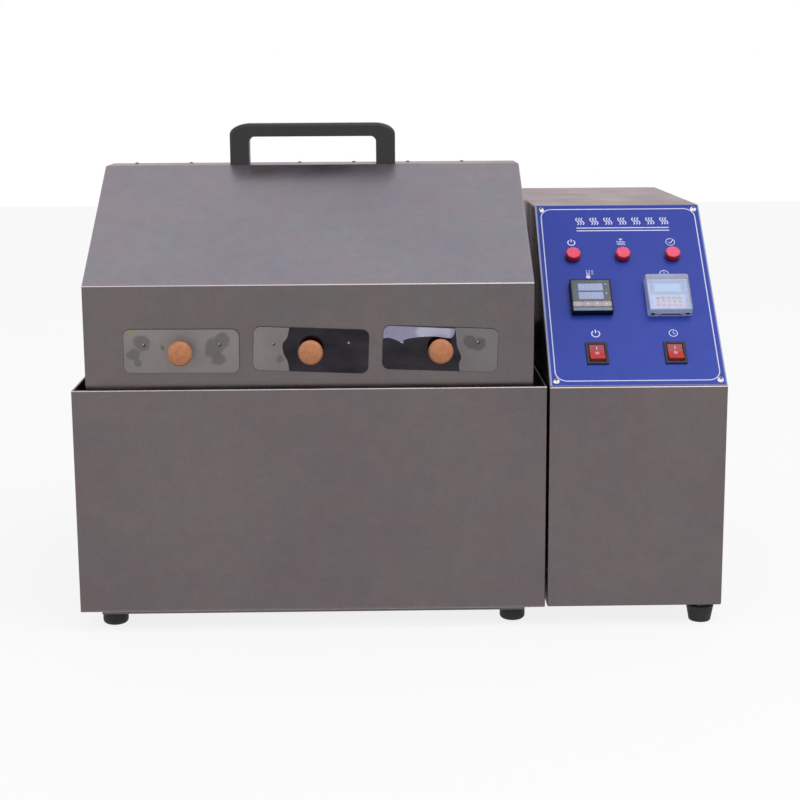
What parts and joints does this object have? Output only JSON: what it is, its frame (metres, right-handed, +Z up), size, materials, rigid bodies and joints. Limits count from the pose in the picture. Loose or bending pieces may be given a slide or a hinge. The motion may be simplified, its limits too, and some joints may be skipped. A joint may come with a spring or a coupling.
{
  "type": "bench steam ageing chamber",
  "caption": "Bench steam chamber: a steel tank under a lift-off hood with sample drawers, beside a control box with a sloped panel of lamps, controller, timer and rockers.",
  "frame": {"origin": "on the bench, under the middle of the whole machine", "axes": "+X to the viewer's right, along the machine's longest side, from the tank to the control box; +Y to the back; +Z up"},
  "size_m": [0.7394, 0.6038, 0.5705],
  "materials": {
    "steel_sheet": "satin stainless sheet",
    "tub_steel": "plain mill-finish stainless",
    "drawer_plate": "polished stainless under a torn protective film",
    "drawer_knob": "mottled tan moulding",
    "panel_blue": "satin blue print on a metal plate",
    "plated_steel": "bright plated",
    "rubber": "matt black",
    "insulation": "mineral wool",
    "black_plastic": "satin black moulding",
    "display_window": "dark teal window",
    "soft_keys": "pinkish grey keys",
    "timer_plastic": "pale moulding",
    "timer_buttons": "pale grey keys",
    "clear_cover": "clear moulding",
    "red_lens": "translucent red",
    "red_rocker": "glossy red",
    "float_plastic": "white moulding",
    "valve_brass": "machined brass",
    "valve_lever": "red coated lever"
  },
  "bodies": {
    "tank_and_controls": {"tank_casing": "steel_sheet", "tank_back_panel": "steel_sheet", "tank_base_pan": "steel_sheet", "tank_feet": "rubber", "inner_tank": "tub_steel", "tank_insulation": "insulation", "lid_seal": "rubber", "heater_element": "tub_steel", "temperature_probe": "tub_steel", "level_switch": "float_plastic", "drain_valve": "valve_brass", "control_housing": "steel_sheet", "control_back_panel": "steel_sheet", "back_panel_screws": "plated_steel", "cable_gland": "black_plastic", "control_feet": "rubber", "hex_fasteners": "plated_steel", "panel_plate": "panel_blue", "panel_screws": "plated_steel", "indicator_bodies": "black_plastic", "indicator_lenses": "red_lens", "controller_case": "black_plastic", "controller_face": "display_window", "timer_case": "timer_plastic", "timer_cover_frame": "clear_cover", "switch_bodies": "black_plastic", "solid_state_relay": "black_plastic"},
    "hood": {"hood_shell": "steel_sheet", "hood_back_panel": "steel_sheet", "hood_rivets": "plated_steel", "hood_handle": "black_plastic", "drawer_guides": "tub_steel"},
    "drawer_1": {"drawer_front_1": "drawer_plate", "drawer_tray_1": "tub_steel", "drawer_knob_1": "drawer_knob"},
    "drawer_2": {"drawer_front_2": "drawer_plate", "drawer_tray_2": "tub_steel", "drawer_knob_2": "drawer_knob"},
    "drawer_3": {"drawer_front_3": "drawer_plate", "drawer_tray_3": "tub_steel", "drawer_knob_3": "drawer_knob"},
    "rocker_1": {"rocker_1": "red_rocker"},
    "rocker_2": {"rocker_2": "red_rocker"},
    "timer_cover": {"timer_cover_lid": "clear_cover"},
    "controller_key_1": {"controller_key_1": "soft_keys"},
    "controller_key_2": {"controller_key_2": "soft_keys"},
    "controller_key_3": {"controller_key_3": "soft_keys"},
    "controller_key_4": {"controller_key_4": "soft_keys"},
    "timer_plus_1": {"timer_plus_1": "timer_buttons"},
    "timer_plus_2": {"timer_plus_2": "timer_buttons"},
    "timer_plus_3": {"timer_plus_3": "timer_buttons"},
    "timer_plus_4": {"timer_plus_4": "timer_buttons"},
    "timer_plus_5": {"timer_plus_5": "timer_buttons"},
    "timer_minus_1": {"timer_minus_1": "timer_buttons"},
    "timer_minus_2": {"timer_minus_2": "timer_buttons"},
    "timer_minus_3": {"timer_minus_3": "timer_buttons"},
    "timer_minus_4": {"timer_minus_4": "timer_buttons"},
    "timer_minus_5": {"timer_minus_5": "timer_buttons"},
    "level_float": {"level_float": "float_plastic"},
    "drain_lever": {"drain_lever": "valve_lever"}
  },
  "joints": [
    {"name": "hood_lift", "type": "slide", "parent": "tank_and_controls", "child": "hood", "axis": [0, 0, 1], "range_m": [0, 0.3]},
    {"name": "drawer_1_slide", "type": "slide", "parent": "hood", "child": "drawer_1", "axis": [0, -1, 0], "range_m": [0, 0.15]},
    {"name": "drawer_2_slide", "type": "slide", "parent": "hood", "child": "drawer_2", "axis": [0, -1, 0], "range_m": [0, 0.15]},
    {"name": "drawer_3_slide", "type": "slide", "parent": "hood", "child": "drawer_3", "axis": [0, -1, 0], "range_m": [0, 0.15]},
    {"name": "rocker_1_tilt", "type": "hinge", "parent": "tank_and_controls", "child": "rocker_1", "pos_m": [0.22505, -0.25479, 0.31289], "axis": [1, 0, 0], "range_deg": [0, 18]},
    {"name": "rocker_2_tilt", "type": "hinge", "parent": "tank_and_controls", "child": "rocker_2", "pos_m": [0.31475, -0.25479, 0.31289], "axis": [1, 0, 0], "range_deg": [0, 18]},
    {"name": "timer_cover_hinge", "type": "hinge", "parent": "tank_and_controls", "child": "timer_cover", "pos_m": [0.31495, -0.21928, 0.35486], "axis": [1, 0, 0], "range_deg": [0, 110]},
    {"name": "controller_key_1_press", "type": "slide", "parent": "tank_and_controls", "child": "controller_key_1", "axis": [0, 0.683, -0.7304], "range_m": [0, 0.0008], "stiffness_N_per_m": 1200, "springref_m": -0.0004},
    {"name": "controller_key_2_press", "type": "slide", "parent": "tank_and_controls", "child": "controller_key_2", "axis": [0, 0.683, -0.7304], "range_m": [0, 0.0008], "stiffness_N_per_m": 1200, "springref_m": -0.0004},
    {"name": "controller_key_3_press", "type": "slide", "parent": "tank_and_controls", "child": "controller_key_3", "axis": [0, 0.683, -0.7304], "range_m": [0, 0.0008], "stiffness_N_per_m": 1200, "springref_m": -0.0004},
    {"name": "controller_key_4_press", "type": "slide", "parent": "tank_and_controls", "child": "controller_key_4", "axis": [0, 0.683, -0.7304], "range_m": [0, 0.0008], "stiffness_N_per_m": 1200, "springref_m": -0.0004},
    {"name": "timer_plus_1_press", "type": "slide", "parent": "tank_and_controls", "child": "timer_plus_1", "axis": [0, 0.683, -0.7304], "range_m": [0, 0.001], "stiffness_N_per_m": 1000, "springref_m": -0.0004},
    {"name": "timer_plus_2_press", "type": "slide", "parent": "tank_and_controls", "child": "timer_plus_2", "axis": [0, 0.683, -0.7304], "range_m": [0, 0.001], "stiffness_N_per_m": 1000, "springref_m": -0.0004},
    {"name": "timer_plus_3_press", "type": "slide", "parent": "tank_and_controls", "child": "timer_plus_3", "axis": [0, 0.683, -0.7304], "range_m": [0, 0.001], "stiffness_N_per_m": 1000, "springref_m": -0.0004},
    {"name": "timer_plus_4_press", "type": "slide", "parent": "tank_and_controls", "child": "timer_plus_4", "axis": [0, 0.683, -0.7304], "range_m": [0, 0.001], "stiffness_N_per_m": 1000, "springref_m": -0.0004},
    {"name": "timer_plus_5_press", "type": "slide", "parent": "tank_and_controls", "child": "timer_plus_5", "axis": [0, 0.683, -0.7304], "range_m": [0, 0.001], "stiffness_N_per_m": 1000, "springref_m": -0.0004},
    {"name": "timer_minus_1_press", "type": "slide", "parent": "tank_and_controls", "child": "timer_minus_1", "axis": [0, 0.683, -0.7304], "range_m": [0, 0.001], "stiffness_N_per_m": 1000, "springref_m": -0.0004},
    {"name": "timer_minus_2_press", "type": "slide", "parent": "tank_and_controls", "child": "timer_minus_2", "axis": [0, 0.683, -0.7304], "range_m": [0, 0.001], "stiffness_N_per_m": 1000, "springref_m": -0.0004},
    {"name": "timer_minus_3_press", "type": "slide", "parent": "tank_and_controls", "child": "timer_minus_3", "axis": [0, 0.683, -0.7304], "range_m": [0, 0.001], "stiffness_N_per_m": 1000, "springref_m": -0.0004},
    {"name": "timer_minus_4_press", "type": "slide", "parent": "tank_and_controls", "child": "timer_minus_4", "axis": [0, 0.683, -0.7304], "range_m": [0, 0.001], "stiffness_N_per_m": 1000, "springref_m": -0.0004},
    {"name": "timer_minus_5_press", "type": "slide", "parent": "tank_and_controls", "child": "timer_minus_5", "axis": [0, 0.683, -0.7304], "range_m": [0, 0.001], "stiffness_N_per_m": 1000, "springref_m": -0.0004},
    {"name": "level_float_swing", "type": "hinge", "parent": "tank_and_controls", "child": "level_float", "pos_m": [0.12025, -0.1622, 0.15], "axis": [0, 1, 0], "range_deg": [0, 45]},
    {"name": "drain_lever_turn", "type": "hinge", "parent": "tank_and_controls", "child": "drain_lever", "pos_m": [-0.24975, 0.2609, 0.1255], "axis": [0, 0, -1], "range_deg": [0, 90]}
  ]
}
